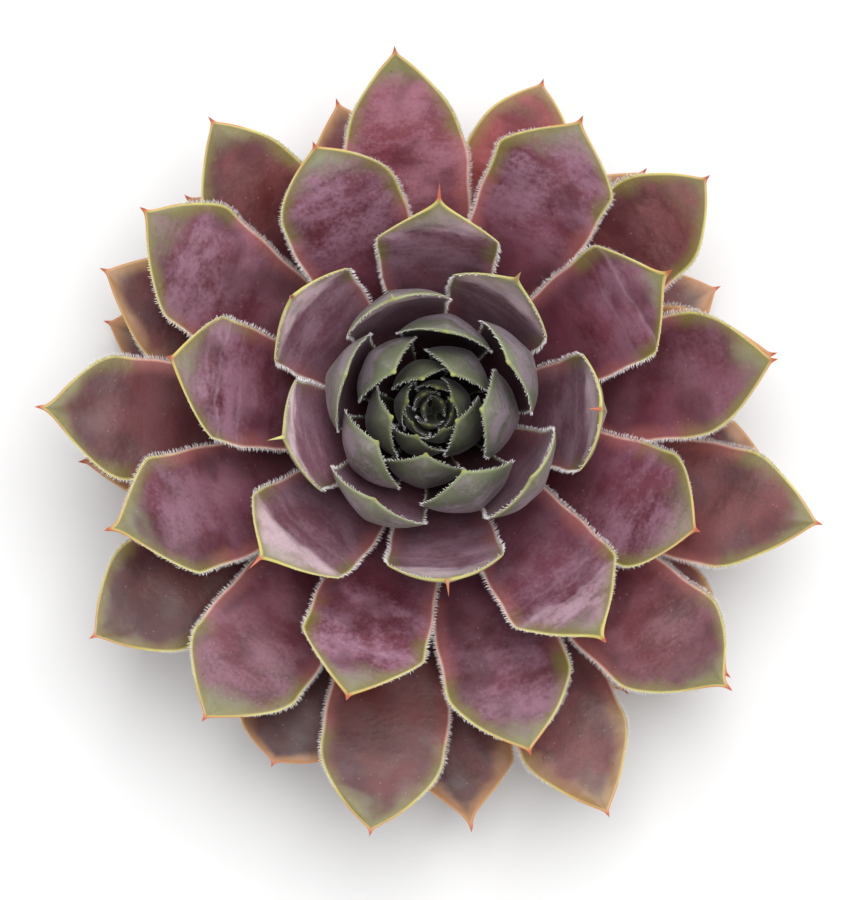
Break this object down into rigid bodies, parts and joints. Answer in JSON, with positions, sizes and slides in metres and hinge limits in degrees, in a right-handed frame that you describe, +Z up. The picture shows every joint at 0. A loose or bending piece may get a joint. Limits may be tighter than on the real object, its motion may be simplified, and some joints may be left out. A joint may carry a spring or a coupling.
{
  "type": "houseleek rosette",
  "caption": "Open rosette of fleshy, pointed succulent leaves round a closed heart, cut from the plant, resting on its short cut stem.",
  "frame": {"origin": "middle of the stem's flat cut, on the surface that the rosette stands on", "axes": "+Z up along the rosette's axis, out of its heart; +Y towards the leaf that stands upright in the usual view from above"},
  "size_m": [0.099, 0.099, 0.0426],
  "materials": {
    "rosette_leaf": "fresh waxy leaf skin, dusky purple with a grey bloom, green tip and pale green margin, satin",
    "bud_leaf": "fresh waxy leaf skin, grey-green with a purple flush, satin",
    "heart_leaf": "young leaf skin, deep green, satin",
    "stem_bark": "dry brown stem skin with leaf scars, matt"
  },
  "bodies": {
    "root": {"stem": "stem_bark", "heart": "heart_leaf", "leaf_14": "bud_leaf", "leaf_15": "bud_leaf", "leaf_16": "bud_leaf", "leaf_17": "bud_leaf", "leaf_18": "bud_leaf", "leaf_19": "bud_leaf", "leaf_20": "bud_leaf", "leaf_21": "bud_leaf", "leaf_22": "bud_leaf", "leaf_23": "bud_leaf", "leaf_24": "bud_leaf", "leaf_25": "bud_leaf", "leaf_26": "bud_leaf", "leaf_27": "bud_leaf", "leaf_28": "bud_leaf", "leaf_29": "bud_leaf", "leaf_30": "bud_leaf", "leaf_31": "rosette_leaf", "leaf_32": "rosette_leaf", "leaf_33": "rosette_leaf", "leaf_34": "rosette_leaf", "leaf_35": "rosette_leaf", "leaf_36": "rosette_leaf", "leaf_37": "rosette_leaf", "leaf_38": "rosette_leaf", "leaf_39": "rosette_leaf", "leaf_40": "rosette_leaf", "leaf_41": "rosette_leaf", "leaf_42": "rosette_leaf", "leaf_43": "rosette_leaf", "leaf_44": "rosette_leaf", "leaf_45": "rosette_leaf", "leaf_46": "rosette_leaf", "leaf_47": "rosette_leaf", "leaf_48": "rosette_leaf", "leaf_49": "rosette_leaf", "leaf_50": "rosette_leaf", "leaf_51": "rosette_leaf", "leaf_52": "rosette_leaf", "leaf_53": "rosette_leaf", "leaf_54": "rosette_leaf", "leaf_55": "rosette_leaf", "leaf_56": "rosette_leaf", "leaf_57": "rosette_leaf", "leaf_58": "rosette_leaf", "leaf_59": "rosette_leaf", "leaf_60": "rosette_leaf", "leaf_61": "rosette_leaf", "leaf_62": "rosette_leaf", "leaf_63": "rosette_leaf", "leaf_64": "rosette_leaf", "leaf_65": "rosette_leaf", "leaf_66": "rosette_leaf", "leaf_67": "rosette_leaf", "leaf_68": "rosette_leaf", "leaf_69": "rosette_leaf"}
  },
  "joints": []
}
